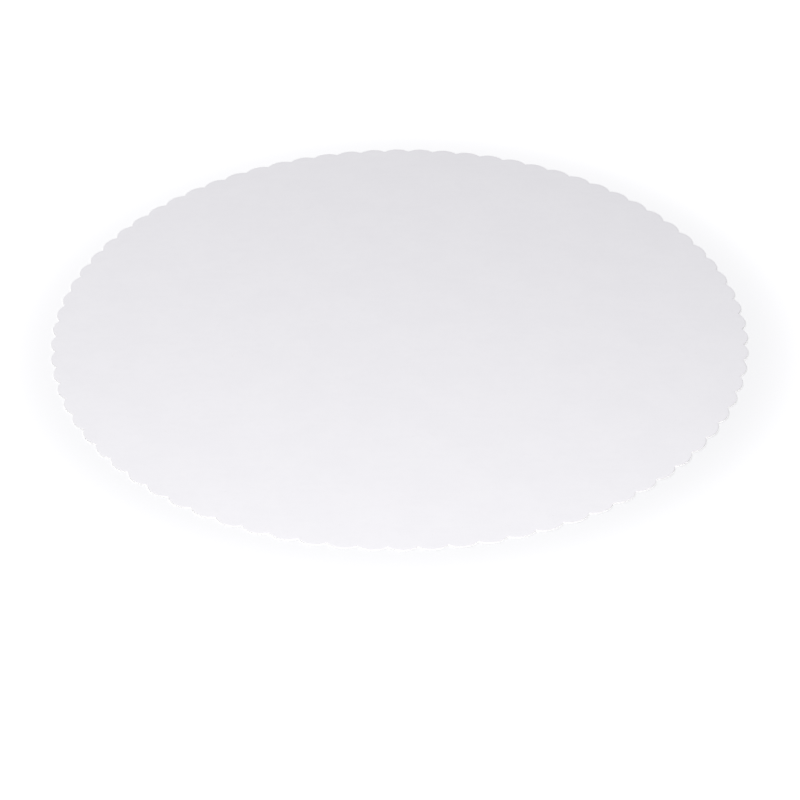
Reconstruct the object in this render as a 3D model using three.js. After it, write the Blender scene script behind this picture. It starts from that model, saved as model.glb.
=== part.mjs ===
// A round cake board: one die-cut sheet of white coated paperboard with a scalloped rim.
// Millimetres, +Z up. The underside lies on z = 0, and the middle of the board is at x = y = 0.

import * as THREE from 'three';

// Overall size
const BOARD_DIAMETER = 300;
const BOARD_THICKNESS = 0.5;

// Rim: equal round lobes, which meet in narrow inward notches
const LOBE_COUNT = 80;
const NOTCH_DEPTH = 2.0;
const NOTCH_ROOT_RADIUS = 0.25;

// The arris that the cutting rule presses round, on the upper and the lower edge
const EDGE_ROUND = 0.06;

// Fineness of the curves
const LOBE_STEPS = 8;
const ROOT_STEPS = 2;
const EDGE_STEPS = 1;

// White clay-coated paper
const PAPER_COLOUR = 0xf3f2f5;
const PAPER_ROUGHNESS = 0.55;

// The rim's arcs, from the driving sizes.
// Every lobe touches the outer circle. The arc at a notch's root touches the lobe on each side of it,
// so its centre is one lobe radius and one root radius away from both lobes' centres.
function rimArcs() {
  const outerRadius = BOARD_DIAMETER / 2;
  const halfPitch = Math.PI / LOBE_COUNT;
  const rootDistance = outerRadius - NOTCH_DEPTH + NOTCH_ROOT_RADIUS;
  const inwards = outerRadius - rootDistance * Math.cos(halfPitch);
  const sideways = rootDistance * Math.sin(halfPitch);
  const lobeRadius = (inwards ** 2 + sideways ** 2 - NOTCH_ROOT_RADIUS ** 2)
    / (2 * (inwards + NOTCH_ROOT_RADIUS));
  const lobeDistance = outerRadius - lobeRadius;
  const lobeHalfAngle = Math.atan2(sideways, lobeRadius - inwards);
  return { halfPitch, rootDistance, lobeRadius, lobeDistance, lobeHalfAngle };
}

// Points of an arc about a centre that lies at a distance and a direction from the board's middle.
// The last point is left out, because the next arc starts there.
function arcPoints(distance, direction, radius, from, to, steps) {
  const clockwise = to < from;
  const x = distance * Math.cos(direction);
  const y = distance * Math.sin(direction);
  const arc = new THREE.EllipseCurve(x, y, radius, radius, from, to, clockwise);
  return arc.getPoints(steps).slice(0, -1);
}

// The board seen from above: a lobe, then a notch's root, once for each lobe.
// The first lobe's middle lies on +X.
function rimOutline() {
  const rim = rimArcs();
  const rootHalfAngle = rim.lobeHalfAngle - rim.halfPitch;
  const points = [];
  for (let lobe = 0; lobe < LOBE_COUNT; lobe += 1) {
    const middle = 2 * rim.halfPitch * lobe;
    const notch = middle + rim.halfPitch;
    points.push(...arcPoints(
      rim.lobeDistance, middle, rim.lobeRadius,
      middle - rim.lobeHalfAngle, middle + rim.lobeHalfAngle, LOBE_STEPS,
    ));
    points.push(...arcPoints(
      rim.rootDistance, notch, NOTCH_ROOT_RADIUS,
      notch + Math.PI + rootHalfAngle, notch + Math.PI - rootHalfAngle, ROOT_STEPS,
    ));
  }
  return new THREE.Shape(points);
}

// The sheet: the outline through the thickness, with both arrises pressed round.
function boardGeometry() {
  const sheet = new THREE.ExtrudeGeometry(rimOutline(), {
    depth: BOARD_THICKNESS - 2 * EDGE_ROUND,
    bevelEnabled: true,
    bevelThickness: EDGE_ROUND,
    bevelSize: EDGE_ROUND,
    bevelOffset: -EDGE_ROUND,
    bevelSegments: EDGE_STEPS,
  });
  sheet.translate(0, 0, EDGE_ROUND);
  return sheet;
}

function paper() {
  return new THREE.MeshStandardMaterial({
    color: PAPER_COLOUR,
    roughness: PAPER_ROUGHNESS,
    metalness: 0,
  });
}

function cakeBoard() {
  const board = new THREE.Mesh(boardGeometry(), paper());
  board.name = 'cake_board';
  const group = new THREE.Group();
  group.add(board);
  return group;
}

export default cakeBoard();
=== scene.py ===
"""A round white cake board with a scalloped rim, lying flat on a pale table. All sizes are in metres."""
import math

import bpy
import numpy as np
from mathutils import Matrix, Vector


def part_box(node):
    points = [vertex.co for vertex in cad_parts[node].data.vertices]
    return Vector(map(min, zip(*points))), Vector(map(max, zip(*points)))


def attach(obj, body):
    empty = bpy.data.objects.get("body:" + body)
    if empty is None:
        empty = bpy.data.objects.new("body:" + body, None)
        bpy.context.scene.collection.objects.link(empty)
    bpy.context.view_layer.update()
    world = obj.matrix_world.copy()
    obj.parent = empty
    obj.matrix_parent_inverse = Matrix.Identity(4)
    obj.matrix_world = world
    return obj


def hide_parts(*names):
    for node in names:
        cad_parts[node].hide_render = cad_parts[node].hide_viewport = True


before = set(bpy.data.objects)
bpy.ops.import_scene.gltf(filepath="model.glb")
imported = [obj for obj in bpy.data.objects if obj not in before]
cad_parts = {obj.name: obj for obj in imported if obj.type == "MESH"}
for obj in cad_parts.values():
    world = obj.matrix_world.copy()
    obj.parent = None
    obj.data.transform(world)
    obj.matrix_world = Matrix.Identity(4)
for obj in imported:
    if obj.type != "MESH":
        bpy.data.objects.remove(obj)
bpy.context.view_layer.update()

MM = 0.001
MICRON = 0.000001

# The board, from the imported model
BOARD_LOW, BOARD_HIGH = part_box("cake_board")
BOARD_RADIUS = (BOARD_HIGH.x - BOARD_LOW.x) / 2
BOARD_TOP = BOARD_HIGH.z
BOARD_THICKNESS = BOARD_HIGH.z - BOARD_LOW.z

# The rim: round lobes that meet in narrow notches
LOBE_COUNT = 80
NOTCH_DEPTH = 2.0 * MM
NOTCH_ROOT_RADIUS = 0.25 * MM
COLUMNS_PER_LOBE_ARC = 26
COLUMNS_PER_ROOT_ARC = 6

# The cut edge, from the top down: pressed round, sheared smooth, torn through the plies, then a slight burr
ROLL_WIDTH = 0.16 * MM
ROLL_DROP = 0.10 * MM
ROLL_STEPS = 5
SHEARED_DEPTH = 0.12 * MM
TORN_ROWS = 6
BURR_HEIGHT = 0.035 * MM
BURR_WIDTH = 0.03 * MM

# Edges of the mesh that turn by more degrees than this stay sharp
SHARP_ANGLE = 50

# How deep the cut is uneven, and the share of that depth in each of its bands
UNEVEN_DEPTH = 0.022 * MM
SHEARED_SHARE, TORN_SHARE, BURR_SHARE = 0.15, 1.0, 0.6
UNEVEN_SEED = 11

# The band beside the rim that the cutting rule pulls down a little
PRESSED_BAND = 1.4 * MM
PRESSED_DROP = 0.02 * MM

# Slow waves of the sheet, inside its thickness, with their turns and starts in radians
COCKLE_HEIGHT = 0.03 * MM
COCKLE_LENGTHS = (0.085, 0.061, 0.047)
COCKLE_TURNS = (0.3, 1.5, 2.4)
COCKLE_STARTS = (0.0, 1.1, 2.3)

# Rows of the flat faces: those beside the rim crowd towards it by a power, and plain circles lie inside them
BAND_CROWDING = 1.5
FIRST_CIRCLE = 0.94
BLEND_ROWS = 5
RING_STEP = 4.5 * MM
LONGEST_FACE = 2
COARSEST_RING = 10

# The finishes, by their number on the mesh
COATING, CUT_PLIES, UNDERSIDE = 0, 1, 2

# The camera, at the angle of the photograph, in degrees
IMAGE_SIZE = 800
FOCAL_PIXELS = 2215
SENSOR_WIDTH = 36.0
CAMERA_ELEVATION = 34.75
CAMERA_AZIMUTH = -0.28
CAMERA_DISTANCE = 0.961
CAMERA_TILT_DOWN = 1.95
CAMERA_ROLL = 0.43


# Shape of the board

def rim_lines():
    """The rim seen from above: its points and their outward directions, lobe after lobe.

    A lobe is an arc that touches the outer circle. A notch's root is a small arc that touches the lobe on
    each side. With a and b the distances of the root's centre inwards of the outer circle and sideways of
    the lobe's middle, the lobe's radius is (a squared + b squared - root squared) / (2 (a + root)).
    """
    half_pitch = math.pi / LOBE_COUNT
    root_distance = BOARD_RADIUS - NOTCH_DEPTH + NOTCH_ROOT_RADIUS
    inwards = BOARD_RADIUS - root_distance * math.cos(half_pitch)
    sideways = root_distance * math.sin(half_pitch)
    squares = inwards ** 2 + sideways ** 2 - NOTCH_ROOT_RADIUS ** 2
    lobe_radius = squares / (2 * (inwards + NOTCH_ROOT_RADIUS))
    lobe_distance = BOARD_RADIUS - lobe_radius
    lobe_half_angle = math.atan2(sideways, lobe_radius - inwards)
    root_half_angle = lobe_half_angle - half_pitch

    lobe_turn = np.linspace(-lobe_half_angle, lobe_half_angle, COLUMNS_PER_LOBE_ARC, endpoint=False)
    root_turn = np.linspace(root_half_angle, -root_half_angle, COLUMNS_PER_ROOT_ARC, endpoint=False)
    turn = np.concatenate([lobe_turn, half_pitch + root_turn])
    on_lobe = np.arange(turn.size) < lobe_turn.size
    distance = np.where(on_lobe, lobe_distance, root_distance)
    direction = np.where(on_lobe, 0.0, half_pitch)
    radius = np.where(on_lobe, lobe_radius, -NOTCH_ROOT_RADIUS)

    middle = 2 * half_pitch * np.arange(LOBE_COUNT)[:, None]
    centre_angle = middle + direction
    outward_angle = middle + turn
    centre = distance[:, None] * np.stack([np.cos(centre_angle), np.sin(centre_angle)], -1)
    outward = np.stack([np.cos(outward_angle), np.sin(outward_angle)], -1)
    points = centre + radius[:, None] * outward
    return points.reshape(-1, 2), outward.reshape(-1, 2)


def cockle(points):
    """How far the sheet waves down at each point, from 0 to COCKLE_HEIGHT.

    It is the mean of a few plane cosine waves, each with its own length, direction and start.
    """
    waves = np.zeros(len(points))
    for length, turn, start in zip(COCKLE_LENGTHS, COCKLE_TURNS, COCKLE_STARTS):
        along = points @ np.array([math.cos(turn), math.sin(turn)])
        waves += np.cos(2 * math.pi * along / length + start)
    return COCKLE_HEIGHT * (1 - waves / len(COCKLE_LENGTHS)) / 2


def torn_noise(columns, rows):
    """Uneven depth of the torn plies, from 0 to 1.

    Each value is the mean of three neighbouring random numbers in a row, the middle one counted twice.
    """
    noise = np.random.default_rng(UNEVEN_SEED).random((rows, columns))
    return (np.roll(noise, 1, 1) + 2 * noise + np.roll(noise, -1, 1)) / 4


def edge_profile():
    """The cut edge from the top face to the underside, as rows of (inset, height, uneven share, finish).

    The roll is a quarter ellipse, ROLL_WIDTH wide and ROLL_DROP deep. Below it the wall is upright, steps
    back as it tears, and comes out again at the burr.
    """
    rows = []
    for turn in np.linspace(0, math.pi / 2, ROLL_STEPS + 1):
        inset = ROLL_WIDTH * (1 - math.sin(turn))
        rows.append((inset, -ROLL_DROP * (1 - math.cos(turn)), 0.0, COATING))
    torn_top, torn_foot = ROLL_DROP + SHEARED_DEPTH, BOARD_THICKNESS - BURR_HEIGHT
    rows.append((0.0, -torn_top, SHEARED_SHARE, CUT_PLIES))
    for share in np.linspace(0, 1, TORN_ROWS + 1)[1:]:
        rows.append((BURR_WIDTH, -(torn_top + share * (torn_foot - torn_top)), TORN_SHARE, CUT_PLIES))
    rows.append((0.0, -BOARD_THICKNESS + BURR_HEIGHT / 2, BURR_SHARE, CUT_PLIES))
    rows.append((0.0, -BOARD_THICKNESS, BURR_SHARE, CUT_PLIES))
    return rows


def face_rings(columns):
    """Radius and number of points of each circle of a face, from the outermost to the middle.

    The numbers halve while a step along the ring is shorter than RING_STEP, and a ring is at most
    LONGEST_FACE times as wide as that step, so the faces stay near square.
    """
    radius, count = FIRST_CIRCLE * BOARD_RADIUS, columns
    rings = [(radius, count)]
    while radius > RING_STEP and count > COARSEST_RING:
        along = 2 * math.pi * radius / count
        if along < RING_STEP:
            count //= 2
        radius -= min(RING_STEP, LONGEST_FACE * along)
        rings.append((radius, count))
    return rings


def face_rows(points, outward, first_inset):
    """One flat face as rows of x and y, from the rim's parallel lines through a blend to plain circles.

    Each row is given with its distance from the rim. In the blend, a point's radius and angle go in
    equal shares from those of the last parallel line to those of an evenly divided circle.
    """
    rows = []
    for share in np.linspace(0, 1, BLEND_ROWS) ** BAND_CROWDING:
        inset = first_inset + share * (PRESSED_BAND - first_inset)
        rows.append((points - inset * outward, np.full(len(points), inset)))
    last = rows[-1][0]
    radius = np.hypot(last[:, 0], last[:, 1])
    angle = np.unwrap(np.arctan2(last[:, 1], last[:, 0]))
    even = np.linspace(0, 2 * math.pi, len(points), endpoint=False)
    even += np.mean(angle - even)
    circle = FIRST_CIRCLE * BOARD_RADIUS
    for share in np.linspace(0, 1, BLEND_ROWS + 1)[1:]:
        blend = radius + share * (circle - radius)
        turn = angle + share * (even - angle)
        rows.append((np.stack([blend * np.cos(turn), blend * np.sin(turn)], 1), BOARD_RADIUS - blend))
    for ring, count in face_rings(len(points))[1:]:
        turn = even[:: len(points) // count]
        rows.append((ring * np.stack([np.cos(turn), np.sin(turn)], 1), np.full(count, BOARD_RADIUS - ring)))
    rows.append((np.zeros((1, 2)), np.array([BOARD_RADIUS])))
    return rows


def stitch(upper, lower):
    """Faces between two neighbouring rows of vertex numbers, pointing outwards.

    Rows of equal length are joined by quads. A row with twice as many points is joined by three
    triangles to each step of the shorter one, and a row of one point by a fan.
    """
    if len(upper) == 1:
        return np.stack([lower, np.roll(lower, -1), np.repeat(upper, len(lower))], 1).tolist()
    if len(lower) == 1:
        return np.stack([np.repeat(lower, len(upper)), np.roll(upper, -1), upper], 1).tolist()
    if len(upper) == len(lower):
        return np.stack([lower, np.roll(lower, -1), np.roll(upper, -1), upper], 1).tolist()
    if len(lower) == 2 * len(upper):
        start, middle, end = lower[::2], lower[1::2], np.roll(lower[::2], -1)
        after = np.roll(upper, -1)
        faces = [(start, middle, upper), (middle, after, upper), (middle, end, after)]
    else:
        start, middle, end = upper[::2], upper[1::2], np.roll(upper[::2], -1)
        after = np.roll(lower, -1)
        faces = [(lower, after, middle), (lower, middle, start), (after, end, middle)]
    return np.concatenate([np.stack(face, 1) for face in faces]).tolist()


def board_rows():
    """Every row of the closed sheet, from the middle of the top face over the rim to that of the underside.

    Each row is its vertices, their distances from the rim and its finish. Beside the rim the top face is
    pressed down by PRESSED_DROP times the square of the share of the band that still lies inwards. The
    edge's rows sink with the top face, in equal shares down to none at the underside.
    """
    points, outward = rim_lines()
    profile = edge_profile()
    noise = torn_noise(len(points), len(profile))
    wave = cockle(points)
    rows = []
    for plan, from_rim in reversed(face_rows(points, outward, ROLL_WIDTH)[1:]):
        press = PRESSED_DROP * np.clip(1 - (from_rim - ROLL_WIDTH) / PRESSED_BAND, 0, 1) ** 2
        height = BOARD_TOP - press - cockle(plan)
        rows.append((np.column_stack([plan, height]), from_rim, COATING))
    for (inset, drop, uneven_share, finish), uneven in zip(profile, noise):
        depth = inset + uneven_share * UNEVEN_DEPTH * uneven
        share = 1 + drop / BOARD_THICKNESS
        height = BOARD_TOP + drop - (PRESSED_DROP + wave) * share
        rows.append((np.column_stack([points - depth[:, None] * outward, height]), depth, finish))
    for plan, from_rim in face_rows(points, outward, ROLL_WIDTH):
        rows.append((np.column_stack([plan, np.full(len(plan), BOARD_LOW.z)]), from_rim, UNDERSIDE))
    return rows


def make_board():
    """The board: its rows stitched into one closed skin, which carries the distance from the rim."""
    vertices, distances, faces, finishes = [], [], [], []
    above = None
    first = 0
    for row, from_rim, finish in board_rows():
        numbers = np.arange(first, first + len(row))
        first += len(row)
        vertices.append(row)
        distances.append(from_rim)
        if above is not None:
            strip = stitch(above, numbers)
            faces += strip
            finishes += [finish] * len(strip)
        above = numbers
    mesh = bpy.data.meshes.new("scalloped_board")
    mesh.from_pydata(np.concatenate(vertices).tolist(), [], faces)
    mesh.polygons.foreach_set("material_index", finishes)
    mesh.polygons.foreach_set("use_smooth", np.ones(len(faces), bool))
    mesh.set_sharp_from_angle(angle=math.radians(SHARP_ANGLE))
    attribute = mesh.attributes.new("from_rim", "FLOAT", "POINT")
    attribute.data.foreach_set("value", np.concatenate(distances))
    board = bpy.data.objects.new("scalloped_board", mesh)
    bpy.context.scene.collection.objects.link(board)
    return board


# Finishes

# Places of the colour sockets on the Mix node, whose names repeat
MIX_FIRST_COLOUR, MIX_SECOND_COLOUR, MIX_COLOUR_OUT = 6, 7, 2

# The part of a noise's range that most of its values lie in, for tone and for gloss
TONE_SPAN = (0.35, 0.65)
GLOSS_SPAN = (0.3, 0.7)

# A fade says where on a noise a layer starts to show, where it is full, and its share there.
# A grain says how many patches of noise lie on a metre along X, Y and Z, and its turn shifts the pattern.
GRAIN_TURN = 0.12

# The coating, where a shine of 0.5 would be the full one for its IOR
COAT_ROUGHNESS = 0.7
COAT_IOR = 1.4
COAT_SHINE = 0.12
CLOUD_SIZE, CLOUD_RELIEF = 22 * MM, 0.12 * MM
CLOUD_DULL, CLOUD_CLEAR = (0.888, 0.878, 0.901, 1), (0.899, 0.889, 0.911, 1)
BLOTCH_SIZE, BLOTCH_RELIEF = 3.5 * MM, 0.018 * MM
BLOTCH_COLOUR, BLOTCH_FADE = (0.876, 0.866, 0.889, 1), (0.42, 0.75, 0.4)
STREAK_GRAIN = (60, 420, 60)
STREAK_COLOUR, STREAK_FADE = (0.908, 0.899, 0.918, 1), (0.45, 0.75, 0.35)
SPECK_SIZE = 1.1 * MM
SPECK_COLOUR, SPECK_FADE = (0.80, 0.785, 0.78, 1), (0.74, 0.80, 0.35)
FIBRE_SIZE, FIBRE_RELIEF = 0.45 * MM, 0.008 * MM
# Painted shade: the coating turns slightly darker in a thin band along the rim, fading out over its width
RIM_SHADE_COLOUR, RIM_SHADE_WIDTH, RIM_SHADE_SHARE = (0.86, 0.85, 0.865, 1), 0.9 * MM, 0.25
BLOTCH_ROUGHNESS, FIBRE_ROUGHNESS = (-0.04, 0.04), (0.66, 0.74)

# The cut plies
CUT_ROUGHNESS = 0.8
PLY_GRAIN, PLY_RELIEF = (900, 900, 16000), 0.012 * MM
PLY_DARK, PLY_PALE = (0.79, 0.775, 0.755, 1), (0.90, 0.892, 0.884, 1)
FUZZ_SIZE, FUZZ_RELIEF = 0.12 * MM, 0.02 * MM
FUZZ_COLOUR, FUZZ_FADE = (0.93, 0.925, 0.92, 1), (0.5, 0.75, 0.6)

# The underside
UNDER_ROUGHNESS = 0.78
UNDER_CLOUD_SIZE = 9 * MM
UNDER_DULL, UNDER_CLEAR = (0.835, 0.825, 0.81, 1), (0.868, 0.86, 0.85, 1)
FELT_GRAIN, FELT_RELIEF = (700, 1500, 700), 0.01 * MM
FELT_COLOUR, FELT_FADE = (0.78, 0.765, 0.745, 1), (0.5, 0.8, 0.5)
FLECK_SIZE, FLECK_RELIEF = 0.5 * MM, 0.008 * MM
FLECK_COLOUR, FLECK_FADE = (0.70, 0.68, 0.65, 1), (0.66, 0.8, 0.5)
FLECK_ROUGHNESS = (0.72, 0.84)


class Finish:
    """One material: a Principled surface and short ways to add the nodes that feed it.

    The roughness given here is the mean one, and it holds where no node feeds that socket.
    """

    def __init__(self, name, roughness, ior=1.5):
        self.material = bpy.data.materials.new(name)
        self.material.use_nodes = True
        self.tree = self.material.node_tree
        self.surface = self.tree.nodes["Principled BSDF"]
        self.surface.inputs["Roughness"].default_value = roughness
        self.surface.inputs["IOR"].default_value = ior
        self.place = self.tree.nodes.new("ShaderNodeTexCoord").outputs["Object"]

    def feed(self, node_input, value):
        """Links a socket, or sets a plain value."""
        if isinstance(value, bpy.types.NodeSocket):
            self.tree.links.new(value, node_input)
        else:
            node_input.default_value = value

    def noise(self, size, detail=3.0, rough=0.55, place=None):
        """Cloudy noise whose patches are about this size."""
        node = self.tree.nodes.new("ShaderNodeTexNoise")
        node.inputs["Scale"].default_value = 1 / size
        node.inputs["Detail"].default_value = detail
        node.inputs["Roughness"].default_value = rough
        self.feed(node.inputs["Vector"], self.place if place is None else place)
        return node.outputs["Fac"]

    def stretched_noise(self, grain, detail=3.0, rough=0.55, turn=0.0):
        """Noise in long patches: the piece's coordinates are scaled by the grain, then turned about Z."""
        node = self.tree.nodes.new("ShaderNodeMapping")
        node.inputs["Scale"].default_value = grain
        node.inputs["Rotation"].default_value = (0, 0, turn)
        self.feed(node.inputs["Vector"], self.place)
        return self.noise(1.0, detail, rough, node.outputs["Vector"])

    def between(self, value, low, high, out_low=0.0, out_high=1.0):
        """The value taken from one range to another, easing in and out at its ends and held past them."""
        node = self.tree.nodes.new("ShaderNodeMapRange")
        node.interpolation_type = "SMOOTHSTEP"
        self.feed(node.inputs["Value"], value)
        node.inputs["From Min"].default_value = low
        node.inputs["From Max"].default_value = high
        node.inputs["To Min"].default_value = out_low
        node.inputs["To Max"].default_value = out_high
        return node.outputs["Result"]

    def mixed(self, share, first, second):
        """The first colour, going to the second as the share goes to 1."""
        node = self.tree.nodes.new("ShaderNodeMix")
        node.data_type = "RGBA"
        self.feed(node.inputs["Factor"], share)
        self.feed(node.inputs[MIX_FIRST_COLOUR], first)
        self.feed(node.inputs[MIX_SECOND_COLOUR], second)
        return node.outputs[MIX_COLOUR_OUT]

    def layered(self, tone, pattern, colour, fade):
        """The tone with a colour laid over it where the pattern is high, by its fade."""
        start, full, share = fade
        return self.mixed(self.between(pattern, start, full, 0, share), tone, colour)

    def joined(self, first, second, kind="ADD"):
        """Two values joined into one, by adding or by another kind of sum."""
        node = self.tree.nodes.new("ShaderNodeMath")
        node.operation = kind
        self.feed(node.inputs[0], first)
        self.feed(node.inputs[1], second)
        return node.outputs["Value"]

    def relief(self, height, depth, under=None):
        """A bump of this depth, laid over an earlier one where there is one."""
        node = self.tree.nodes.new("ShaderNodeBump")
        node.inputs["Strength"].default_value = 1.0
        node.inputs["Distance"].default_value = depth
        self.feed(node.inputs["Height"], height)
        if under is not None:
            self.feed(node.inputs["Normal"], under)
        return node.outputs["Normal"]

    def from_rim(self):
        """The distance from the rim that the mesh carries."""
        node = self.tree.nodes.new("ShaderNodeAttribute")
        node.attribute_name = "from_rim"
        return node.outputs["Fac"]


def coated_face():
    """White clay coating, almost matt: clouds, blotches, streaks along the grain, specks and fine fibres,
    with a painted shade along the rim.
    """
    finish = Finish("coated_face", COAT_ROUGHNESS, COAT_IOR)
    finish.surface.inputs["Specular IOR Level"].default_value = COAT_SHINE
    cloud = finish.noise(CLOUD_SIZE, detail=2)
    blotch = finish.noise(BLOTCH_SIZE)
    streak = finish.stretched_noise(STREAK_GRAIN, turn=GRAIN_TURN)
    fibre = finish.noise(FIBRE_SIZE, rough=0.6)
    speck = finish.noise(SPECK_SIZE, detail=1)
    tone = finish.mixed(finish.between(cloud, *TONE_SPAN), CLOUD_DULL, CLOUD_CLEAR)
    tone = finish.layered(tone, blotch, BLOTCH_COLOUR, BLOTCH_FADE)
    tone = finish.layered(tone, streak, STREAK_COLOUR, STREAK_FADE)
    tone = finish.layered(tone, speck, SPECK_COLOUR, SPECK_FADE)
    # Painted shade along the rim: the coating darkens towards the edge
    painted_rim_shade = finish.between(finish.from_rim(), 0, RIM_SHADE_WIDTH, RIM_SHADE_SHARE, 0)
    tone = finish.mixed(painted_rim_shade, tone, RIM_SHADE_COLOUR)
    finish.feed(finish.surface.inputs["Base Color"], tone)
    blotch_gloss = finish.between(blotch, *GLOSS_SPAN, *BLOTCH_ROUGHNESS)
    fibre_gloss = finish.between(fibre, *GLOSS_SPAN, *FIBRE_ROUGHNESS)
    finish.feed(finish.surface.inputs["Roughness"], finish.joined(blotch_gloss, fibre_gloss))
    waves = finish.relief(cloud, CLOUD_RELIEF)
    mottle = finish.relief(blotch, BLOTCH_RELIEF, waves)
    finish.feed(finish.surface.inputs["Normal"], finish.relief(fibre, FIBRE_RELIEF, mottle))
    return finish.material


def cut_edge():
    """The cut through the plies: flat layers, a little warmer than the coating, with fibre ends on them."""
    finish = Finish("cut_edge", CUT_ROUGHNESS)
    plies = finish.stretched_noise(PLY_GRAIN, rough=0.6)
    fuzz = finish.noise(FUZZ_SIZE, rough=0.65)
    tone = finish.mixed(finish.between(plies, *TONE_SPAN), PLY_DARK, PLY_PALE)
    tone = finish.layered(tone, fuzz, FUZZ_COLOUR, FUZZ_FADE)
    finish.feed(finish.surface.inputs["Base Color"], tone)
    layers = finish.relief(plies, PLY_RELIEF)
    finish.feed(finish.surface.inputs["Normal"], finish.relief(fuzz, FUZZ_RELIEF, layers))
    return finish.material


def plain_underside():
    """The uncoated underside: a matt, slightly warmer white with fibre flecks and a felt grain."""
    finish = Finish("plain_underside", UNDER_ROUGHNESS)
    cloud = finish.noise(UNDER_CLOUD_SIZE)
    felt = finish.stretched_noise(FELT_GRAIN, detail=4, rough=0.6, turn=GRAIN_TURN)
    fleck = finish.noise(FLECK_SIZE, detail=4, rough=0.65)
    tone = finish.mixed(finish.between(cloud, *TONE_SPAN), UNDER_DULL, UNDER_CLEAR)
    tone = finish.layered(tone, felt, FELT_COLOUR, FELT_FADE)
    tone = finish.layered(tone, fleck, FLECK_COLOUR, FLECK_FADE)
    finish.feed(finish.surface.inputs["Base Color"], tone)
    finish.feed(finish.surface.inputs["Roughness"], finish.between(fleck, *GLOSS_SPAN, *FLECK_ROUGHNESS))
    weave = finish.relief(felt, FELT_RELIEF)
    finish.feed(finish.surface.inputs["Normal"], finish.relief(fleck, FLECK_RELIEF, weave))
    return finish.material


# Table, light and camera

MAIN_LAMP_PLACE = (-0.02, -0.90, 0.76)
MAIN_LAMP_SIZE = 0.7
MAIN_LAMP_POWER = 12.2
BACK_LAMP_PLACE = (-0.78, 1.35, 0.90)
BACK_LAMP_SIZE = 0.3
BACK_LAMP_POWER = 11.2

WHITE = (1, 1, 1, 1)
SKY_COLOUR = (0.945, 0.945, 1.0, 1)
SKY_LIGHT = 0.233

# Places of the shader sockets on the Mix Shader node, whose names repeat
MIX_FIRST_SHADER, MIX_SECOND_SHADER = 1, 2

# The table lies just under the board. Its own glow is painted light that makes up for the main lamp's falling
# light: it is stronger at the back, and grows to white away from the board, which leaves a painted grey ring
# of shade close round it.
TABLE_SIZE = 12.0
TABLE_DROP = 2 * MICRON
TABLE_COLOUR = (0.86, 0.86, 0.865, 1)
TABLE_ROUGHNESS = 0.9
GLOW_FRONT, GLOW_BACK, GLOW_FAR = 0.055, 0.245, 1.0
GLOW_DEPTH = 0.20
GLOW_FROM, GLOW_TO = 0.14, 0.29


def seen_directly(tree):
    """1 for camera, mirror and clear rays, and 0 for the rays that carry light."""
    path = tree.nodes.new("ShaderNodeLightPath")
    total = path.outputs["Is Camera Ray"]
    for kind in ("Is Glossy Ray", "Is Transmission Ray"):
        node = tree.nodes.new("ShaderNodeMath")
        node.operation = "MAXIMUM"
        tree.links.new(total, node.inputs[0])
        tree.links.new(path.outputs[kind], node.inputs[1])
        total = node.outputs["Value"]
    return total


def make_table():
    """A wide pale table under the board. Its own glow is only seen, lights nothing, and leaves the shadow."""
    half = TABLE_SIZE / 2
    corners = [(-half, -half), (half, -half), (half, half), (-half, half)]
    mesh = bpy.data.meshes.new("table")
    mesh.from_pydata([(x, y, BOARD_LOW.z - TABLE_DROP) for x, y in corners], [], [(0, 1, 2, 3)])
    table = bpy.data.objects.new("table", mesh)
    bpy.context.scene.collection.objects.link(table)
    finish = Finish("pale_table", TABLE_ROUGHNESS)
    finish.surface.inputs["Base Color"].default_value = TABLE_COLOUR
    finish.surface.inputs["Specular IOR Level"].default_value = 0.0
    away = finish.tree.nodes.new("ShaderNodeVectorMath")
    away.operation = "LENGTH"
    finish.feed(away.inputs[0], finish.place)
    axes = finish.tree.nodes.new("ShaderNodeSeparateXYZ")
    finish.feed(axes.inputs["Vector"], finish.place)
    near = finish.between(axes.outputs["Y"], -GLOW_DEPTH, GLOW_DEPTH, GLOW_FRONT, GLOW_BACK)
    # Painted shade: the glow is held back close round the board, a soft grey ring that grows to white further
    # out
    far = finish.between(away.outputs["Value"], GLOW_FROM, GLOW_TO, 0, GLOW_FAR)
    finish.surface.inputs["Emission Color"].default_value = WHITE
    glow = finish.joined(finish.joined(near, far), seen_directly(finish.tree), "MULTIPLY")
    finish.feed(finish.surface.inputs["Emission Strength"], glow)
    mesh.materials.append(finish.material)


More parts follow.
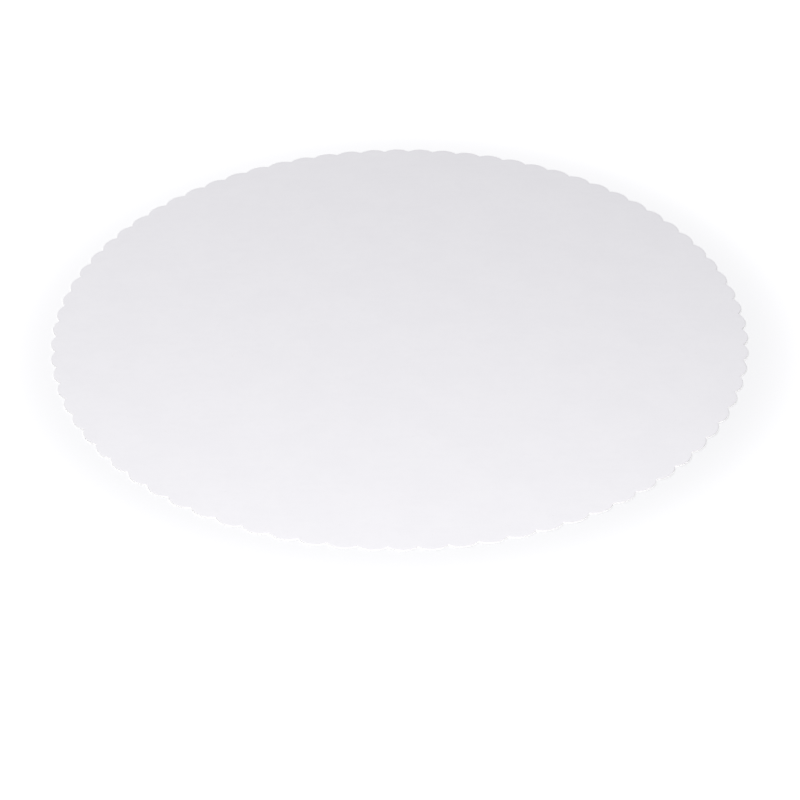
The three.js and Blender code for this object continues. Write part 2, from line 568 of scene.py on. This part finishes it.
def make_sky():
    """A plain pale surround: white where it is seen, and a soft even light on the board."""
    world = bpy.data.worlds.new("pale_surround")
    world.use_nodes = True
    tree = world.node_tree
    tree.nodes.clear()
    light = tree.nodes.new("ShaderNodeBackground")
    light.inputs["Color"].default_value = SKY_COLOUR
    light.inputs["Strength"].default_value = SKY_LIGHT
    white = tree.nodes.new("ShaderNodeBackground")
    white.inputs["Color"].default_value = WHITE
    mix = tree.nodes.new("ShaderNodeMixShader")
    output = tree.nodes.new("ShaderNodeOutputWorld")
    tree.links.new(seen_directly(tree), mix.inputs["Fac"])
    tree.links.new(light.outputs["Background"], mix.inputs[MIX_FIRST_SHADER])
    tree.links.new(white.outputs["Background"], mix.inputs[MIX_SECOND_SHADER])
    tree.links.new(mix.outputs["Shader"], output.inputs["Surface"])
    bpy.context.scene.world = world


def make_lamp(name, place, size, power):
    """A square soft lamp that looks at the board's middle."""
    data = bpy.data.lights.new(name, "AREA")
    data.shape = "SQUARE"
    data.size = size
    data.energy = power
    lamp = bpy.data.objects.new(name, data)
    lamp.location = place
    lamp.rotation_euler = (-Vector(place)).to_track_quat("-Z", "Y").to_euler()
    bpy.context.scene.collection.objects.link(lamp)


def make_camera():
    """The camera, placed round the middle of the top face.

    It stands at its elevation and distance, looks at that middle, then tilts down and rolls a little.
    """
    up = Vector((0, 0, 1))
    elevation = math.radians(CAMERA_ELEVATION)
    azimuth = Matrix.Rotation(math.radians(CAMERA_AZIMUTH), 3, "Z")
    back = azimuth @ Vector((0, -math.cos(elevation), math.sin(elevation)))
    right = back.cross(up).normalized() * -1
    tilt = Matrix.Rotation(-math.radians(CAMERA_TILT_DOWN), 3, right)
    forward = tilt @ -back
    top = tilt @ back.cross(right)
    roll = Matrix.Rotation(math.radians(CAMERA_ROLL), 3, forward)
    right, top = roll @ right, roll @ top
    turned = Matrix((right, top, -forward)).transposed().to_4x4()
    place = Vector((0, 0, BOARD_TOP)) + back * CAMERA_DISTANCE
    data = bpy.data.cameras.new("camera")
    data.sensor_width = SENSOR_WIDTH
    data.lens = FOCAL_PIXELS / IMAGE_SIZE * SENSOR_WIDTH
    camera = bpy.data.objects.new("camera", data)
    camera.matrix_world = Matrix.Translation(place) @ turned
    bpy.context.scene.collection.objects.link(camera)
    bpy.context.scene.camera = camera


board = make_board()
for material in (coated_face(), cut_edge(), plain_underside()):
    board.data.materials.append(material)
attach(board, "root")
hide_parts("cake_board")

make_table()
make_sky()
make_lamp("main_lamp", MAIN_LAMP_PLACE, MAIN_LAMP_SIZE, MAIN_LAMP_POWER)
make_lamp("back_lamp", BACK_LAMP_PLACE, BACK_LAMP_SIZE, BACK_LAMP_POWER)
make_camera()
bpy.context.scene.view_settings.view_transform = "Standard"
